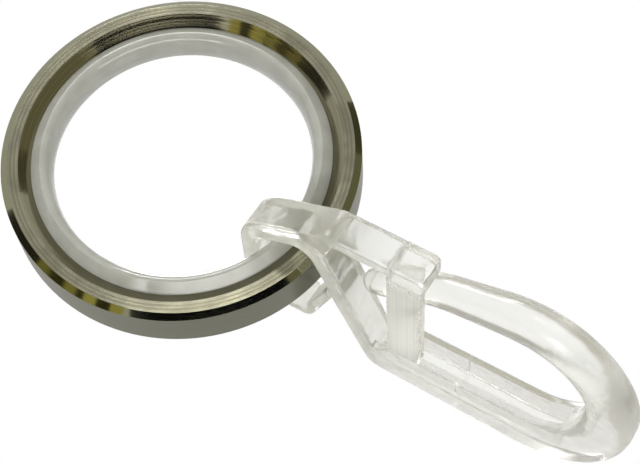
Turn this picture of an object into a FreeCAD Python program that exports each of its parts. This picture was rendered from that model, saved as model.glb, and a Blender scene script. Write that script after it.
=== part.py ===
"""Curtain ring with its clear pleat hook: a turned metal ring, the plastic
glide lining seated in it, and the moulded hook whose eye clips round both.

Frame: the middle of the ring's bore is the origin and the bore runs along Y.
The side of the ring with -Y faces the viewer, and the hook hangs towards -Z.
All lengths are in millimetres and all angles in degrees.

The hook is drawn lying flat, with u running from the eye down to the bend,
v from the back of the ring to its front and w across the hook's width. The
middle of the ring's section is the zero of u, v and w.
"""
import FreeCAD, Part
import math
import os

V = FreeCAD.Vector

# Metal ring
ring_wall = 2.75
ring_width = 5.1
rim_bevel_radial = 0.65
rim_bevel_axial = 0.42
face_width = 1.05
seat_width = 3.3
groove_width = 1.4
groove_depth = 0.6

# Glide lining
bore_diameter = 24.56
lining_forward = 0.66
lining_depth = 1.97
lining_width = 3.5
lining_crown_radius = 4.05
lining_edge_radius = 0.9
lining_clearance = 0.05

# Hook: how it hangs in the ring
eye_offset_angle = 13.2
hook_lean = 3.8
hook_turn = 5.4

# Hook: eye, as gaps round the ring's section and as wall thicknesses
hook_width = 3.4
eye_gap_seat = 0.35
eye_gap_front = 2.5
eye_gap_back = 2.1
eye_gap_clip = 0.68
eye_corner_radius = 2.3
eye_peak_radius = 1.4
eye_rim_flat = 0.05
strap_thickness = 1.45
crown_thickness = 2.65
crown_slope = 25.0
crown_radius = 5.0
clip_thickness = 1.0
clip_slope = 65.0
clip_slit = 0.15
clip_corner_radius = 1.35

# Hook: head
head_height = 7.8
leg_slope = 66.8
leg_thickness_top = 2.5
leg_thickness_foot = 1.6
throat_height = 2.15
throat_reach = 0.95
top_arm_thickness = 1.3
nose_reach = 9.4
nose_thickness = 2.5
bar_setback = 0.4
bar_width = 3.15
bar_depth = 1.2

# Hook: back arm with its channel
back_arm_drop = 6.12
back_arm_depth = 4.75
back_arm_slope = 2.0
back_arm_length = 19.55
lead_in = 4.0
channel_depth = 2.3
channel_wall = 0.72
channel_run_out = 3.9
ramp_height = 1.6
ramp_run = 1.3

# Hook: bend and free arm, from the back arm to the rounded tip
bend_radius = 7.55
bend_height_side = 4.5
bend_width_side = 3.8
arm_height_root = 3.75
arm_width_root = 3.7
arm_tip_diameter = 2.45
arm_drop_nose = 3.36
tip_slope = 31.8
tip_length = 7.3
tip_bend_radius = 8.0
arm_clearance = 0.12
bend_steps = 7
rounding_pace = 1.5
full_round = 0.98
dome_parts = [0.5, 0.8, 0.95]

# Small roundings
edge_radius = 0.3
crown_top_radius = 2.0
nose_corner_radius = 0.65
ramp_corner_radius = 0.8
inner_corner_radius = 0.4
elbow_radius = 2.0

# Worked out from the sizes above
bore_radius = bore_diameter / 2
seat_radius = bore_radius + lining_depth
ring_radius = seat_radius + ring_wall
half_width = ring_width / 2
section_radius = (ring_radius + bore_radius) / 2
section_half = (ring_radius - bore_radius) / 2
touching = 1e-6


def line(start, end):
    """Straight edge."""
    return Part.LineSegment(start, end).toShape()


def arc(start, middle, end):
    """Circular edge through three points."""
    return Part.Arc(start, middle, end).toShape()


def rounded_face(corners):
    """Flat face from corner points, each with the radius that rounds it."""
    edges = []
    ends = []
    for index, (corner, radius) in enumerate(corners):
        before = (corners[index - 1][0] - corner).normalize()
        after = (corners[(index + 1) % len(corners)][0] - corner).normalize()
        half_angle = before.getAngle(after) / 2
        reach = radius / math.tan(half_angle)
        start = corner + before * reach
        end = corner + after * reach
        if radius > 0:
            inward = (before + after).normalize()
            middle = corner + inward * (radius / math.sin(half_angle) - radius)
            edges.append(arc(start, middle, end))
        ends.append((start, end))
    for index in range(len(ends)):
        start = ends[index - 1][1]
        end = ends[index][0]
        if start.distanceToPoint(end) > touching:
            edges.append(line(start, end))
    return Part.Face(Part.Wire(Part.__sortEdges__(edges)))


def turned(face):
    """Full turn of a section round the bore's axis."""
    return face.revolve(V(0, 0, 0), V(0, 1, 0), 360)


def across(radius, y):
    """Point of the ring's section."""
    return V(radius, y, 0)


def metal_ring():
    """Turned ring: rim, bevelled faces, inner bevels and the lining's groove."""
    face_outer = ring_radius - rim_bevel_radial
    face_inner = face_outer - face_width
    groove_floor = seat_radius + groove_depth
    back = [
        across(seat_radius, seat_width / 2),
        across(face_inner, half_width),
        across(face_outer, half_width),
        across(ring_radius, half_width - rim_bevel_axial),
    ]
    front = [V(point.x, -point.y, 0) for point in reversed(back)]
    groove = [
        across(seat_radius, -groove_width / 2 - lining_forward),
        across(groove_floor, -groove_width / 2 - lining_forward),
        across(groove_floor, groove_width / 2 - lining_forward),
        across(seat_radius, groove_width / 2 - lining_forward),
    ]
    return turned(rounded_face([(point, 0) for point in back + front + groove]))


def lining_edges(side):
    """Crown end, rounded edge and flank of the lining's bead on one side."""
    crown_centre = bore_radius + lining_crown_radius
    inset = lining_width / 2 - lining_edge_radius
    gap = lining_crown_radius - lining_edge_radius
    edge_centre = across(crown_centre - math.sqrt(gap ** 2 - inset ** 2), side * inset)
    away = (edge_centre - across(crown_centre, 0)).normalize()
    crown_end = edge_centre + away * lining_edge_radius
    widest = edge_centre + V(0, side * lining_edge_radius, 0)
    between = (away + V(0, side, 0)).normalize()
    edge = arc(crown_end, edge_centre + between * lining_edge_radius, widest)
    return crown_end, edge, widest


def glide_lining():
    """Plastic bead inside the ring with the rib that sits in its groove."""
    rib_half = groove_width / 2 - lining_clearance
    rib_radius = seat_radius + groove_depth - lining_clearance
    flank = seat_width / 2 - lining_forward
    back_end, back_edge, back_side = lining_edges(1)
    front_end, front_edge, front_side = lining_edges(-1)
    rim = [
        back_side,
        across(seat_radius, flank),
        across(seat_radius, rib_half),
        across(rib_radius, rib_half),
        across(rib_radius, -rib_half),
        across(seat_radius, -rib_half),
        across(seat_radius, -flank),
        front_side,
    ]
    edges = [arc(front_end, across(bore_radius, 0), back_end), front_edge, back_edge]
    edges += [line(start, end) for start, end in zip(rim, rim[1:])]
    section = Part.Face(Part.Wire(Part.__sortEdges__(edges)))
    return turned(section.translated(V(0, -lining_forward, 0)))


def at(u, v, w):
    """Point of the hook, before it is turned and hung in the ring."""
    return V(w, -v, -u)


def slope(angle):
    """Rise in v for each unit of u."""
    return math.tan(math.radians(angle))


# Levels and stations of the hook, worked out from the sizes above
eye_edge_radius = clip_thickness - edge_radius - eye_rim_flat
seat_slant = (hook_width / 2 - eye_edge_radius) * slope(eye_offset_angle)
eye_left = -section_half - eye_gap_seat - seat_slant
eye_floor = -half_width - eye_gap_back
eye_roof = half_width + eye_gap_front
strap_left = eye_left - strap_thickness
clip_bottom = eye_floor - clip_thickness
crown_rise = crown_thickness / math.cos(math.radians(crown_slope))
clip_reach = (clip_thickness + eye_gap_clip) / math.sin(math.radians(clip_slope))
leg_start = section_half + clip_reach + (half_width - rim_bevel_axial) / slope(clip_slope)
head_top = half_width + head_height
top_arm_floor = head_top - top_arm_thickness
nose_end = leg_start + nose_reach
back_floor = -half_width - back_arm_drop
back_top = back_floor + back_arm_depth
bar_end = nose_end - bar_setback
bend_start = leg_start + back_arm_length
plate_end = bend_start - lead_in


def leg_left(v):
    """Where the leg's eye side is at a height."""
    return leg_start - v / slope(leg_slope)


def leg_right(v):
    """Where the leg's window side is at a height."""
    share = (v - back_floor) / (head_top - back_floor)
    thickness = leg_thickness_foot + (leg_thickness_top - leg_thickness_foot) * share
    return leg_left(v) + thickness / math.sin(math.radians(leg_slope))


def back_level(u):
    """How low the back arm reaches at a station along it."""
    return back_floor - (u - leg_left(back_floor)) * slope(back_arm_slope)


def crown_u(v, roof):
    """Where a line at the crown's slope reaches a height."""
    return (v - roof) / slope(crown_slope)


def clip_u(v, inset):
    """Where a line at the clip's slope reaches a height."""
    return leg_start + v / slope(clip_slope) - inset / math.sin(math.radians(clip_slope))


def plate(corners):
    """Part of the hook with one outline through its whole width."""
    outline = [(at(u, v, -hook_width / 2), radius) for u, v, radius in corners]
    return rounded_face(outline).extrude(V(hook_width, 0, 0))


def body_plate():
    """Eye, crown, leg, top arm and back arm as one outline."""
    crown_left = eye_roof + crown_rise + strap_left * slope(crown_slope)
    throat = top_arm_floor - throat_height
    ramp_foot = back_top - ramp_height
    return plate([
        (strap_left, clip_bottom, eye_corner_radius + strap_thickness),
        (strap_left, crown_left, crown_radius),
        (crown_u(head_top, eye_roof + crown_rise), head_top, crown_top_radius),
        (nose_end, head_top, nose_corner_radius),
        (nose_end, head_top - nose_thickness, nose_corner_radius),
        (bar_end - bar_width, head_top - nose_thickness, inner_corner_radius),
        (bar_end - bar_width, top_arm_floor, inner_corner_radius),
        (leg_right(throat) + throat_reach, top_arm_floor, inner_corner_radius),
        (leg_right(throat), throat, inner_corner_radius),
        (leg_right(ramp_foot), ramp_foot, inner_corner_radius),
        (leg_right(ramp_foot) + ramp_run, back_top, ramp_corner_radius),
        (plate_end, back_top, 0),
        (plate_end, back_level(plate_end), 0),
        (leg_left(back_floor), back_floor, elbow_radius),
        (leg_start, 0, 0),
        (clip_u(clip_bottom, 0), clip_bottom, clip_corner_radius),
    ])


def eye_hole():
    """Hole the ring's section passes through."""
    roof_left = eye_roof + eye_left * slope(crown_slope)
    lean = 1 / slope(crown_slope) + 1 / slope(leg_slope)
    peak = (leg_start + eye_roof / slope(crown_slope)) / lean
    spread = 1 / slope(clip_slope) + 1 / slope(leg_slope)
    mouth = clip_thickness / math.sin(math.radians(clip_slope)) / spread
    corner = clip_corner_radius - clip_thickness
    return plate([
        (eye_left, eye_floor, eye_corner_radius),
        (eye_left, roof_left, eye_corner_radius),
        (leg_left(peak), peak, eye_peak_radius),
        (leg_left(mouth), mouth, 0),
        (clip_u(eye_floor, clip_thickness), eye_floor, max(corner, inner_corner_radius)),
    ])


def clip_mouth():
    """Fine slit between the clip's free end and the leg."""
    slit = clip_slit / math.sin(math.radians(leg_slope))
    above = eye_roof / 2
    below = -clip_thickness
    return plate([
        (leg_left(above), above, 0),
        (leg_left(below), below, 0),
        (leg_left(below) - slit, below, 0),
        (leg_left(above) - slit, above, 0),
    ])


def blend(start, end, share):
    """Value between two others."""
    return start + (end - start) * share


def station(u, v, w, out_angle, height, width, roundness):
    """Rounded rectangle square to the arm, with its outer side at an angle to u."""
    turn = math.radians(out_angle)
    out = at(math.cos(turn), math.sin(turn), 0) * (height / 2)
    side = at(0, 0, 1) * (width / 2)
    radius = roundness * min(height, width) / 2
    signs = [(1, 1), (1, -1), (-1, -1), (-1, 1)]
    corners = [(at(u, v, w) + out * outer + side * far, radius) for outer, far in signs]
    return rounded_face(corners).OuterWire


def drift(run, whole):
    """Share of the side shift that the arm has taken up, easing in and out."""
    share = max(0, min(1, run / whole))
    return share ** 2 * (3 - 2 * share)


def bend_stations(centre_v, leave, straight, shift):
    """Sections from the back arm round the bend to where the straight arm leaves it."""
    middle_u = (plate_end + bend_start) / 2
    middle_v = (back_top + back_level(middle_u)) / 2
    squareness = edge_radius * 2 / hook_width
    height = back_top - back_level(middle_u)
    wires = [station(middle_u, middle_v, 0, -90, height, hook_width, squareness)]
    height_root = back_top - back_level(bend_start)
    whole = bend_radius * math.radians(leave) + straight
    for step in range(bend_steps + 1):
        share = step / bend_steps
        angle = blend(-90, leave, share)
        turn = math.radians(angle)
        u = bend_start + bend_radius * math.cos(turn)
        v = centre_v + bend_radius * math.sin(turn)
        if angle < 0:
            height = blend(bend_height_side, height_root, -angle / 90)
            width = blend(bend_width_side, hook_width, -angle / 90)
        else:
            height = blend(bend_height_side, arm_height_root, angle / leave)
            width = blend(bend_width_side, arm_width_root, angle / leave)
        eased = drift(share * rounding_pace, 1)
        roundness = blend(squareness, full_round, eased)
        w = shift * drift(bend_radius * turn, whole)
        wires.append(station(u, v, w, angle, height, width, roundness))
    return wires


def free_arm(root):
    """Bend and free arm as one tapering sweep from the back arm's end to a rounded tip."""
    centre_v = (back_top + back_level(bend_start)) / 2 + bend_radius
    knee_u = nose_end
    knee_v = top_arm_floor - arm_drop_nose
    toward = math.atan2(knee_v - centre_v, knee_u - bend_start)
    distance = math.hypot(knee_u - bend_start, knee_v - centre_v)
    leave = math.degrees(toward - math.acos(bend_radius / distance))
    straight = math.sqrt(distance ** 2 - bend_radius ** 2)
    length = straight + tip_length
    width_nose = blend(arm_width_root, arm_tip_diameter, straight / length)
    shift = bar_depth + arm_clearance + (width_nose - hook_width) / 2
    wires = [root] + bend_stations(centre_v, leave, straight, shift)
    start_u = bend_start + bend_radius * math.cos(math.radians(leave))
    start_v = centre_v + bend_radius * math.sin(math.radians(leave))
    knee_reach = tip_bend_radius * math.tan(math.radians(90 + tip_slope - leave) / 2)
    bent = bend_radius * math.radians(leave)
    knots = [straight / 3, straight * 2 / 3, straight - knee_reach, straight + knee_reach]
    knots += [blend(straight + knee_reach, length, 0.5), length]
    tip_radius = arm_tip_diameter / 2
    knots += [length + tip_radius * part for part in dome_parts]
    for run in knots:
        before = min(run, straight) / straight
        beyond = max(0, run - straight)
        angle = leave if run < straight else 90 + tip_slope
        turn = math.radians(angle)
        u = blend(start_u, knee_u, before) - beyond * math.sin(turn)
        v = blend(start_v, knee_v, before) + beyond * math.cos(turn)
        share = min(1, run / length)
        height = blend(arm_height_root, arm_tip_diameter, share)
        width = blend(arm_width_root, arm_tip_diameter, share)
        over = max(0, run - length) / tip_radius
        shrink = math.sqrt(1 - over ** 2)
        w = shift * drift(bent + run, bent + straight)
        wires.append(station(u, v, w, angle, height * shrink, width * shrink, full_round))
    return Part.makeLoft(wires, True, False)


def crossbar():
    """Bar on the near side that joins the nose to the back arm."""
    roots = [head_top - nose_thickness / 2, back_top - channel_wall / 2]
    sides = [bar_end - bar_width, bar_end]
    corners = [(sides[0], roots[0]), (sides[1], roots[0]), (sides[1], roots[1]), (sides[0], roots[1])]
    face = rounded_face([(at(u, v, -hook_width / 2), 0) for u, v in corners])
    return face.extrude(V(bar_depth, 0, 0))


def channel():
    """Groove along the back arm, open towards the free arm."""
    floor = back_top - channel_depth
    wide = hook_width - 2 * channel_wall
    start = leg_right(floor)
    end = bend_start + channel_run_out
    corners = [
        (start, floor, 0),
        (end, floor, inner_corner_radius),
        (end, 0, 0),
        (leg_right(0), 0, 0),
    ]
    face = rounded_face([(at(u, v, -wide / 2), radius) for u, v, radius in corners])
    return face.extrude(V(wide, 0, 0))


def hung(shape):
    """The hook turned, leant and set where it clips round the ring."""
    centre = V(0, 0, 0)
    shape.rotate(centre, V(0, 0, 1), hook_turn)
    shape.rotate(centre, V(1, 0, 0), -hook_lean)
    eye = math.radians(eye_offset_angle)
    shape.translate(V(-math.sin(eye), 0, -math.cos(eye)) * section_radius)
    return shape


def middle_of(edge):
    """Point halfway along an edge."""
    return edge.valueAt((edge.FirstParameter + edge.LastParameter) / 2)


def outline_edges(shape):
    """Edges that lie in one of the plate's two flat sides."""
    return [edge for edge in shape.Edges if edge.BoundBox.XLength < touching]


def softened(plain, hole):
    """The plate cut for its eye, with its outer edges and the ring's seat rounded."""
    outer = [edge for edge in outline_edges(plain) if -middle_of(edge).z < plate_end - touching]
    shape = plain.makeFillet(edge_radius, outer).cut(hole)
    seat = Part.Compound(outline_edges(hole))
    rims = []
    for edge in outline_edges(shape):
        if Part.Vertex(middle_of(edge)).distToShape(seat)[0] < touching:
            rims.append(edge)
    return shape.makeFillet(eye_edge_radius, rims)


def clear_hook():
    """Eye, head, crossbar, grooved back arm, bend and free arm in one piece."""
    eyed = softened(body_plate(), eye_hole())
    root = max(eyed.Faces, key=lambda face: -face.CenterOfMass.z)
    body = eyed.cut(clip_mouth()).fuse(free_arm(root.OuterWire))
    body = body.cut(channel()).fuse(crossbar()).removeSplitter()
    return hung(body)


os.makedirs("parts", exist_ok=True)
metal_ring().exportStep("parts/metal_ring.step")
glide_lining().exportStep("parts/glide_lining.step")
clear_hook().exportStep("parts/clear_hook.step")
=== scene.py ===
import bpy
import bmesh
import math
from mathutils import Matrix, Vector

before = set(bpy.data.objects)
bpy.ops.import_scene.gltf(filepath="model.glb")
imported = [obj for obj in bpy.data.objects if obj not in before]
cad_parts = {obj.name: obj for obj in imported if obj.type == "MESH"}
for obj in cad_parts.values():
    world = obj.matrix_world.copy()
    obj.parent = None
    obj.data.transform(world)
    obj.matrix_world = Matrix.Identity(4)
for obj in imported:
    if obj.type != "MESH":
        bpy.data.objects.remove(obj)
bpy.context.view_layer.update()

MM = 0.001

# Where one surface of the ring ends and the next starts, in millimetres: a radius from the
# bore's axis, or a distance to either side of the ring's middle.
RIM_RADIUS = 16.97
OUTER_BEVEL_RADIUS = 16.35
OUTER_BEVEL_SIDE = 2.13
INNER_BEVEL_RADIUS = 15.3
INNER_BEVEL_SIDE = 1.65

# How near the inner bevel comes to the outer one's gloss.
INNER_BEVEL_GLOSS = 0.75

# How the hook hangs: its place on the ring, its lean to the back and its turn to the side.
EYE_ANGLE = math.radians(13.2)
EYE_RADIUS = 14.615
HOOK_LEAN = math.radians(3.8)
HOOK_TURN = math.radians(5.4)

# Parts of the hook, in millimetres down it from the eye, or above its middle towards the
# front, or to the side.
EYE_END = 3
LEG_START = 8
CROSSBAR_TOP = 11.1
CROSSBAR_BOTTOM = 14.2
CROSSBAR_BACK = -3.9
CROSSBAR_FRONT = 7.9
CROSSBAR_SIDE = -0.475
CLEAR_START = 13.5
BACK_ARM_START = 15
BACK_ARM_FRONT = -2.25
PARTING_LINE = 18
PARTING_HALF_WIDTH = 0.07

# Place, in millimetres, and directions of the photograph's camera.
CAMERA_PLACE = Vector((-51.655, -133.541, -52.956))
RIGHT = Vector((0.5188, 0.041, -0.8539))
UP = Vector((0.7797, -0.4329, 0.453))
FORWARD = Vector((0.3511, 0.9005, 0.2566))

# Settings that many nodes share, and the sockets of a colour mix.
TIMES = {"operation": "MULTIPLY"}
PLUS = {"operation": "ADD"}
TIMES_PLUS = {"operation": "MULTIPLY_ADD"}
LARGER = {"operation": "MAXIMUM"}
SMOOTH = {"interpolation_type": "SMOOTHSTEP"}
ALONG_A_LINE = {"noise_dimensions": "1D"}
COLOURS = {"data_type": "RGBA"}
SHARE = 0
FIRST = 6
SECOND = 7


def hex_colour(text):
    """Linear colour from an sRGB hex value."""
    parts = [int(text[start:start + 2], 16) / 255 for start in (1, 3, 5)]
    linear = [part / 12.92 if part <= 0.04045 else ((part + 0.055) / 1.055) ** 2.4 for part in parts]
    return (*linear, 1.0)


def add_node(tree, kind, settings, inputs):
    """One shader node with its settings. Each input is a plain value, a socket that feeds
    it, or a node whose first output in use feeds it."""
    node = tree.nodes.new("ShaderNode" + kind)
    for name, value in settings.items():
        setattr(node, name, value)
    for name, source in inputs.items():
        if isinstance(source, bpy.types.Node):
            source = next(socket for socket in source.outputs if socket.enabled)
        if isinstance(source, bpy.types.NodeSocket):
            tree.links.new(source, node.inputs[name])
        else:
            node.inputs[name].default_value = source
    return node


def new_material(name):
    """Empty material and its node tree."""
    material = bpy.data.materials.new(name)
    material.use_nodes = True
    material.node_tree.nodes.clear()
    return material, material.node_tree


def place_in_mm(tree):
    """Place on the object in millimetres, so a noise's scale is its number of features in
    each millimetre."""
    place = add_node(tree, "TexCoord", {}, {})
    return add_node(tree, "VectorMath", {"operation": "SCALE"}, {0: place.outputs["Object"], "Scale": 1 / MM})


def ring_section(tree, place):
    """Radius from the bore's axis and distance to the side of the ring's middle."""
    flat = add_node(tree, "VectorMath", TIMES, {0: place, 1: (1, 0, 1)})
    radius = add_node(tree, "VectorMath", {"operation": "LENGTH"}, {0: flat})
    parts = add_node(tree, "SeparateXYZ", {}, {0: place})
    side = add_node(tree, "Math", {"operation": "ABSOLUTE"}, {0: parts.outputs["Y"]})
    return radius, side


def hook_place(tree, place):
    """Distance down the hook, height above its middle towards the front, and place to its
    side."""
    eye = (-math.sin(EYE_ANGLE) * EYE_RADIUS, 0, -math.cos(EYE_ANGLE) * EYE_RADIUS)
    moved = add_node(tree, "VectorMath", {"operation": "SUBTRACT"}, {0: place, 1: eye})
    upright = add_node(tree, "VectorRotate", {"rotation_type": "X_AXIS"}, {
        "Vector": moved, "Angle": HOOK_LEAN})
    straight = add_node(tree, "VectorRotate", {"rotation_type": "Z_AXIS"}, {
        "Vector": upright, "Angle": -HOOK_TURN})
    parts = add_node(tree, "SeparateXYZ", {}, {0: straight})
    down = add_node(tree, "Math", TIMES, {0: parts.outputs["Z"], 1: -1})
    height = add_node(tree, "Math", TIMES, {0: parts.outputs["Y"], 1: -1})
    return down, height, parts.outputs["X"]


def band(tree, source, low=None, high=None, soft=0.02):
    """One between two levels of a value and nought outside them, with soft ends. An end
    that isn't given is open."""
    ends = []
    if low is not None:
        ends.append(add_node(tree, "MapRange", SMOOTH, {
            "Value": source, "From Min": low - soft, "From Max": low + soft}))
    if high is not None:
        ends.append(add_node(tree, "MapRange", SMOOTH, {
            "Value": source, "From Min": high - soft, "From Max": high + soft, "To Min": 1, "To Max": 0}))
    if len(ends) == 1:
        return ends[0]
    return add_node(tree, "Math", TIMES, {0: ends[0], 1: ends[1]})


def nickel_plate():
    """Dark nickel plate over a turned ring: satin grey-olive walls with fine tool lines,
    and bright cut bevels that show the room as sharp dark and pale streaks."""
    material, tree = new_material("nickel_plate")
    place = place_in_mm(tree)
    radius, side = ring_section(tree, place)
    rim = band(tree, radius, low=RIM_RADIUS)
    outer_bevel = add_node(tree, "Math", TIMES, {
        0: band(tree, radius, low=OUTER_BEVEL_RADIUS), 1: band(tree, side, low=OUTER_BEVEL_SIDE)})
    inner_bevel = add_node(tree, "Math", TIMES, {
        0: band(tree, radius, high=INNER_BEVEL_RADIUS), 1: band(tree, side, low=INNER_BEVEL_SIDE)})
    # Tool lines run round the ring. Real ones are about 0.1 mm apart, and these are about
    # 0.3 mm apart with finer ones between them, so that they show.
    track = add_node(tree, "Math", TIMES_PLUS, {0: side, 1: 1.3, 2: radius})
    lines = add_node(tree, "TexNoise", ALONG_A_LINE, {
        "W": track, "Scale": 3.6, "Detail": 4, "Roughness": 0.7})
    grooves = add_node(tree, "MapRange", SMOOTH, {"Value": lines, "From Min": 0.35, "From Max": 0.65})
    # The plate's tone drifts in patches 3 mm wide, and its grain is 0.2 mm.
    patches = add_node(tree, "TexNoise", {}, {"Vector": place, "Scale": 0.35, "Detail": 2, "Roughness": 0.5})
    tone = add_node(tree, "MapRange", SMOOTH, {"Value": patches, "From Min": 0.35, "From Max": 0.65})
    grain = add_node(tree, "TexNoise", {}, {"Vector": place, "Scale": 5, "Detail": 2, "Roughness": 0.6})
    colour = add_node(tree, "Mix", COLOURS, {
        SHARE: tone, FIRST: hex_colour("#747264"), SECOND: hex_colour("#888674")})
    for surface, shade in ((rim, "#6f6f62"), (inner_bevel, "#8a8670"), (outer_bevel, "#85846d")):
        colour = add_node(tree, "Mix", COLOURS, {SHARE: surface, FIRST: colour, SECOND: hex_colour(shade)})
    # The grooves are darker, and hardly so on the outer bevel.
    darkening = add_node(tree, "Math", TIMES_PLUS, {0: outer_bevel, 1: -0.5, 2: 0.6})
    worn = add_node(tree, "Math", TIMES, {0: grooves, 1: darkening})
    colour = add_node(tree, "Mix", COLOURS, {SHARE: worn, FIRST: colour, SECOND: hex_colour("#605c46")})
    # The cutter leaves the outer bevel the glossiest and the inner one next, and the rim is
    # the dullest.
    inner_cut = add_node(tree, "Math", TIMES, {0: inner_bevel, 1: INNER_BEVEL_GLOSS})
    cut = add_node(tree, "Math", LARGER, {0: outer_bevel, 1: inner_cut})
    rough = 0.2
    for surface, change in ((cut, -0.14), (rim, 0.08), (grain, 0.05)):
        rough = add_node(tree, "Math", TIMES_PLUS, {0: surface, 1: change, 2: rough})
    # The bevels have no grain, and the outer one has hardly any tool lines.
    grain_depth = add_node(tree, "MapRange", SMOOTH, {
        "Value": cut, "From Max": INNER_BEVEL_GLOSS, "To Min": 0.12, "To Max": 0})
    relief = add_node(tree, "Math", TIMES_PLUS, {0: grain, 1: grain_depth, 2: lines})
    line_depth = add_node(tree, "MapRange", SMOOTH, {"Value": outer_bevel, "To Min": 1, "To Max": 0.05})
    relief = add_node(tree, "Math", TIMES, {0: relief, 1: line_depth})
    # The inner bevel has shallow turning marks 0.3 mm apart, which catch the light as streaks.
    marks = add_node(tree, "TexNoise", ALONG_A_LINE, {"W": radius, "Scale": 3, "Detail": 1, "Roughness": 0.5})
    marked = add_node(tree, "MapRange", SMOOTH, {"Value": inner_bevel})
    relief = add_node(tree, "Mix", {}, {SHARE: marked, "A": relief, "B": marks})
    bump = add_node(tree, "Bump", {}, {"Strength": 0.35, "Distance": 0.03 * MM, "Height": relief})
    round_bore = add_node(tree, "Tangent", {"direction_type": "RADIAL", "axis": "Y"}, {})
    plate = add_node(tree, "BsdfPrincipled", {}, {
        "Base Color": colour, "Metallic": 1, "Roughness": rough, "Normal": bump,
        "Anisotropic": 0.85, "Anisotropic Rotation": 0.25, "Tangent": round_bore})
    add_node(tree, "OutputMaterial", {}, {"Surface": plate})
    return material


def natural_polypropylene():
    """Natural moulded polypropylene: milky, so light spreads inside it and its edges glow
    softly, with a satin skin that gives wide, blurred highlights."""
    material, tree = new_material("natural_polypropylene")
    place = place_in_mm(tree)
    radius, side = ring_section(tree, place)
    # Its cloudiness drifts over 2 mm, and its skin has a grain of about 0.1 mm.
    cloud = add_node(tree, "TexNoise", {}, {"Vector": place, "Scale": 0.5, "Detail": 2, "Roughness": 0.5})
    tone = add_node(tree, "MapRange", SMOOTH, {"Value": cloud, "From Min": 0.3, "From Max": 0.7})
    colour = add_node(tree, "Mix", COLOURS, {
        SHARE: tone, FIRST: hex_colour("#9c9c94"), SECOND: hex_colour("#a4a49c")})
    skin = add_node(tree, "TexNoise", {}, {"Vector": place, "Scale": 8, "Detail": 2, "Roughness": 0.6})
    # Faint flow lines of the moulding run round the bead, about 0.6 mm apart.
    track = add_node(tree, "Math", PLUS, {0: radius, 1: side})
    flow = add_node(tree, "TexNoise", ALONG_A_LINE, {"W": track, "Scale": 1.6, "Detail": 2, "Roughness": 0.5})
    rough = add_node(tree, "MapRange", SMOOTH, {
        "Value": flow, "From Min": 0.3, "From Max": 0.7, "To Min": 0.1, "To Max": 0.15})
    relief = add_node(tree, "Math", TIMES_PLUS, {0: skin, 1: 0.2, 2: flow})
    bump = add_node(tree, "Bump", {}, {"Strength": 0.2, "Distance": 0.02 * MM, "Height": relief})
    plastic = add_node(tree, "BsdfPrincipled", {}, {
        "Base Color": colour, "Roughness": rough, "Normal": bump, "IOR": 1.49,
        "Subsurface Weight": 0.5, "Subsurface Radius": (1, 1, 0.95), "Subsurface Scale": 1.2 * MM})
    add_node(tree, "OutputMaterial", {}, {"Surface": plastic})
    return material


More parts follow.
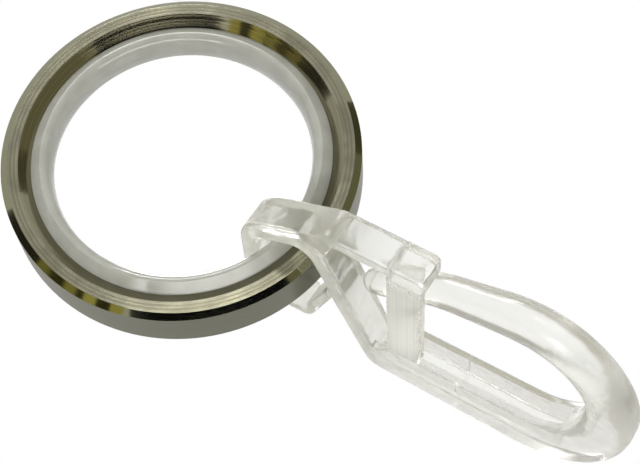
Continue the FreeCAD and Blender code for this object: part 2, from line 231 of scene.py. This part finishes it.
def clear_polycarbonate():
    """Clear moulded polycarbonate: colourless flat on, beige-grey where the eye looks along a wall,
    which is partly its own tint and partly painted shade, with a slightly wavy, softly blurred skin and a
    frosted crossbar."""
    material, tree = new_material("clear_polycarbonate")
    place = place_in_mm(tree)
    down, height, width = hook_place(tree, place)
    crossbar = add_node(tree, "Math", TIMES, {
        0: band(tree, down, CROSSBAR_TOP, CROSSBAR_BOTTOM, soft=0.1),
        1: band(tree, height, CROSSBAR_BACK, CROSSBAR_FRONT, soft=0.2)})
    crossbar = add_node(tree, "Math", TIMES, {
        0: crossbar, 1: band(tree, width, high=CROSSBAR_SIDE, soft=0.075)})
    # Painted shade: the base colour turns beige-grey where a wall is seen edge on. This is partly the
    # plastic's own tint along a long path, and partly a stand-in for the darker room that the edges bend into
    # view.
    view = add_node(tree, "LayerWeight", {}, {"Blend": 0.4})
    grazing = add_node(tree, "MapRange", SMOOTH, {
        "Value": view.outputs["Facing"], "From Min": 0.2, "From Max": 1})
    tint_and_painted_shade = add_node(tree, "Mix", COLOURS, {
        SHARE: grazing, FIRST: hex_colour("#fdfdfb"), SECOND: hex_colour("#bab6aa")})
    # The walls are wavy over 1.5 mm, most of all round the eye, and the skin's grain is 0.25 mm.
    waves = add_node(tree, "TexNoise", {}, {"Vector": place, "Scale": 0.7, "Detail": 1, "Roughness": 0.4})
    skin = add_node(tree, "TexNoise", {}, {"Vector": place, "Scale": 4, "Detail": 2, "Roughness": 0.6})
    depth = add_node(tree, "MapRange", SMOOTH, {
        "Value": down, "From Min": LEG_START, "From Max": BACK_ARM_START, "To Min": 3, "To Max": 0.8})
    relief = add_node(tree, "Math", TIMES, {0: waves, 1: depth})
    relief = add_node(tree, "Math", TIMES_PLUS, {0: skin, 1: 0.08, 2: relief})
    # The mould parts at a fine line across the back arm.
    parting = add_node(tree, "Math", TIMES, {
        0: band(tree, down, PARTING_LINE - PARTING_HALF_WIDTH, PARTING_LINE + PARTING_HALF_WIDTH, soft=0.05),
        1: band(tree, height, high=BACK_ARM_FRONT, soft=0.25)})
    relief = add_node(tree, "Math", TIMES_PLUS, {0: parting, 1: -0.5, 2: relief})
    bump = add_node(tree, "Bump", {}, {"Strength": 0.5, "Distance": 0.12 * MM, "Height": relief})
    rough = add_node(tree, "MapRange", SMOOTH, {
        "Value": skin, "From Min": 0.3, "From Max": 0.7, "To Min": 0.2, "To Max": 0.27})
    rough = add_node(tree, "Math", TIMES_PLUS, {0: crossbar, 1: 0.08, 2: rough})
    clear = add_node(tree, "BsdfPrincipled", {}, {
        "Base Color": tint_and_painted_shade, "Roughness": rough, "Normal": bump, "IOR": 1.49, "Transmission Weight": 1})
    # The crossbar is frosted in fine lines along its height, about 0.25 mm apart.
    frost = add_node(tree, "TexNoise", ALONG_A_LINE, {"W": down, "Scale": 4, "Detail": 2, "Roughness": 0.6})
    streaks = add_node(tree, "MapRange", SMOOTH, {"Value": frost, "From Min": 0.35, "From Max": 0.6})
    frosting = add_node(tree, "Mix", COLOURS, {
        SHARE: streaks, FIRST: hex_colour("#efeee9"), SECOND: hex_colour("#fdfdfb")})
    cloud = add_node(tree, "Mix", COLOURS, {SHARE: crossbar, FIRST: hex_colour("#e2e2d8"), SECOND: frosting})
    milk = add_node(tree, "BsdfTranslucent", {}, {"Color": cloud})
    # It is cloudier round the eye, where the moulding is thick.
    haze = add_node(tree, "MapRange", SMOOTH, {
        "Value": down, "From Min": EYE_END, "From Max": CLEAR_START, "To Min": 0.28, "To Max": 0.04})
    haze = add_node(tree, "Math", TIMES_PLUS, {0: crossbar, 1: 0.6, 2: haze})
    plastic = add_node(tree, "MixShader", {}, {0: haze, 1: clear, 2: milk})
    thickness = add_node(tree, "VolumeAbsorption", {}, {"Color": hex_colour("#e8e6dd"), "Density": 70})
    add_node(tree, "OutputMaterial", {}, {"Surface": plastic, "Volume": thickness})
    return material


FINISHES = {
    "metal_ring": nickel_plate(),
    "glide_lining": natural_polypropylene(),
    "clear_hook": clear_polycarbonate(),
}
for name, material in FINISHES.items():
    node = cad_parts[name]
    node.data.materials.clear()
    node.data.materials.append(material)


def photo_camera():
    """Camera at the photograph's viewing angle."""
    data = bpy.data.cameras.new("photo_camera")
    data.lens = 90
    data.sensor_width = 36
    data.clip_start = 0.01
    data.clip_end = 10
    thing = bpy.data.objects.new("photo_camera", data)
    bpy.context.collection.objects.link(thing)
    turn = Matrix((RIGHT, UP, -FORWARD)).transposed().to_4x4()
    thing.matrix_world = Matrix.Translation(CAMERA_PLACE * MM) @ turn
    bpy.context.scene.camera = thing


def white_room():
    """White room: plain white where it is seen, in metal or through plastic too, and soft
    light from all round on the rest."""
    room = bpy.data.worlds.new("white_room")
    bpy.context.scene.world = room
    room.use_nodes = True
    tree = room.node_tree
    tree.nodes.clear()
    path = add_node(tree, "LightPath", {}, {})
    seen = path.outputs["Is Camera Ray"]
    for ray in ("Is Glossy Ray", "Is Transmission Ray"):
        seen = add_node(tree, "Math", LARGER, {0: seen, 1: path.outputs[ray]})
    white = add_node(tree, "Background", {}, {"Color": (1, 1, 1, 1), "Strength": 1})
    soft = add_node(tree, "Background", {}, {"Color": hex_colour("#f4f4f2"), "Strength": 0.6})
    walls = add_node(tree, "MixShader", {}, {0: seen, 1: soft, 2: white})
    add_node(tree, "OutputWorld", {}, {"Surface": walls})


def mesh_object(name, sheet):
    """Object from a finished bmesh, which it frees."""
    mesh = bpy.data.meshes.new(name)
    sheet.to_mesh(mesh)
    sheet.free()
    thing = bpy.data.objects.new(name, mesh)
    bpy.context.collection.objects.link(thing)
    return thing


def pale_floor():
    """Plain pale floor under the object."""
    sheet = bmesh.new()
    bmesh.ops.create_grid(sheet, x_segments=1, y_segments=1, size=1.5)
    bmesh.ops.translate(sheet, verts=sheet.verts, vec=(0, 0, -80 * MM))
    thing = mesh_object("floor", sheet)
    material, tree = new_material("floor_paper")
    paper = add_node(tree, "BsdfDiffuse", {}, {"Color": hex_colour("#f6f6f4")})
    add_node(tree, "OutputMaterial", {}, {"Surface": paper})
    thing.data.materials.append(material)
    # Metal and plastic show the white room there instead.
    thing.visible_glossy = False


def facing_object(middle, along, outward=False):
    """Place and turn of a sheet that faces the ring's middle, or has its back to it."""
    middle = Vector(middle)
    normal = middle.normalized() if outward else -middle.normalized()
    along = (Vector(along) - normal * normal.dot(Vector(along))).normalized()
    turn = Matrix((along, normal.cross(along), normal)).transposed().to_4x4()
    return Matrix.Translation(middle) @ turn


def softbox(name, middle, along, length, width, power, shown=True):
    """Soft rectangular lamp that faces the object."""
    data = bpy.data.lights.new(name, "AREA")
    data.shape = "RECTANGLE"
    data.size = length
    data.size_y = width
    data.energy = power
    lamp = bpy.data.objects.new(name, data)
    bpy.context.collection.objects.link(lamp)
    # A lamp shines along its own -Z.
    lamp.matrix_world = facing_object(middle, along, outward=True)
    lamp.visible_glossy = shown


def card(name, middle, along, length, width, tone, behind=False, strength=1):
    """Plain card out of the picture: shiny surfaces show it in front of the object, and
    clear plastic shows it behind the object."""
    sheet = bmesh.new()
    bmesh.ops.create_grid(sheet, x_segments=1, y_segments=1, size=0.5)
    bmesh.ops.scale(sheet, verts=sheet.verts, vec=(length, width, 1))
    bmesh.ops.transform(sheet, verts=sheet.verts, matrix=facing_object(middle, along))
    thing = mesh_object(name, sheet)
    material, tree = new_material(name + "_tone")
    glow = add_node(tree, "Emission", {}, {"Color": hex_colour(tone), "Strength": strength})
    add_node(tree, "OutputMaterial", {}, {"Surface": glow})
    thing.data.materials.append(material)
    for ray in ("camera", "diffuse", "shadow", "volume_scatter", "glossy" if behind else "transmission"):
        setattr(thing, "visible_" + ray, False)


photo_camera()
white_room()
pale_floor()

softbox("front", (0.103, -0.366, 0.106), (1, 0, -1), length=0.055, width=0.04, power=0.075)
softbox("key", (0.276, -0.165, 0.24), (-1, 0, 1), length=0.17, width=0.04, power=0.65)
softbox("fill", (-0.27, -0.29, -0.05), (1, 0, 0), length=0.1, width=0.1, power=0.85, shown=False)
softbox("top", (0.3, 0.25, 0.3), (-1, 0, 1), length=0.2, width=0.2, power=0.9)

# The dark streaks of the bevels, and the olive tone beside them.
card("black_card", (-0.2, -0.308, -0.176), (1, 0, -1), length=0.47, width=0.155, tone="#0c0c14")
card("lower_card", (0.28, -0.3, -0.48), (1, 0, 0), length=0.8, width=0.4, tone="#a9a689")

# The yellow stripes of the bevels: warm slats before a dark backing.
WARM_SLATS = (
    ((-0.33, -0.255, 0.33), 0.05, "#b5ad60"),
    ((-0.39, -0.3, 0.225), 0.045, "#ccc46e"),
    ((-0.39, -0.3, 0.14), 0.045, "#f4ec88"),
    ((-0.39, -0.3, 0.045), 0.045, "#eae07e"),
)
card("slat_backing", (-0.4, -0.31, 0.25), (0, 0, 1), length=0.48, width=0.18, tone="#4c4628")
for number, (middle, width, tone) in enumerate(WARM_SLATS):
    card("warm_slat_" + str(number), middle, (1, 0, 0), length=0.2, width=width, tone=tone)

# The pale edge beside the dark streaks, and the brown tones at the ring's top and side.
card("edge_card", (-0.31, -0.27, -0.29), (1, 0, -1.1), length=0.8, width=0.15, tone="#fffffb", strength=9)
card("upper_card", (-0.196, -0.156, 0.312), (1, 0, 0), length=0.12, width=0.12, tone="#3a372a")
card("side_card", (0.36, -0.12, -0.14), (0, 0, 1), length=0.12, width=0.1, tone="#6a664e")

# The grey edges of the clear hook: it bends the view there to four flags behind it, which
# are out of the picture, 50 degrees to each side of the camera's direction.
FLAG_DISTANCE = 0.6
PICTURE_UP = (0.78, -0.433, 0.453)
PICTURE_RIGHT = (0.519, 0.041, -0.854)
FLAGS = (
    ("left", (-0.172, 0.547, 0.819), PICTURE_UP, "#a29e92"),
    ("right", (0.623, 0.61, -0.489), PICTURE_UP, "#b4b0a4"),
    ("upper", (0.823, 0.247, 0.512), PICTURE_RIGHT, "#a29e92"),
    ("lower", (-0.372, 0.91, -0.182), PICTURE_RIGHT, "#b8b4a6"),
)
for side, toward, along, tone in FLAGS:
    middle = [FLAG_DISTANCE * part for part in toward]
    card(side + "_flag", middle, along, length=0.7, width=0.52, tone=tone, behind=True)

bpy.context.scene.view_settings.view_transform = "Standard"
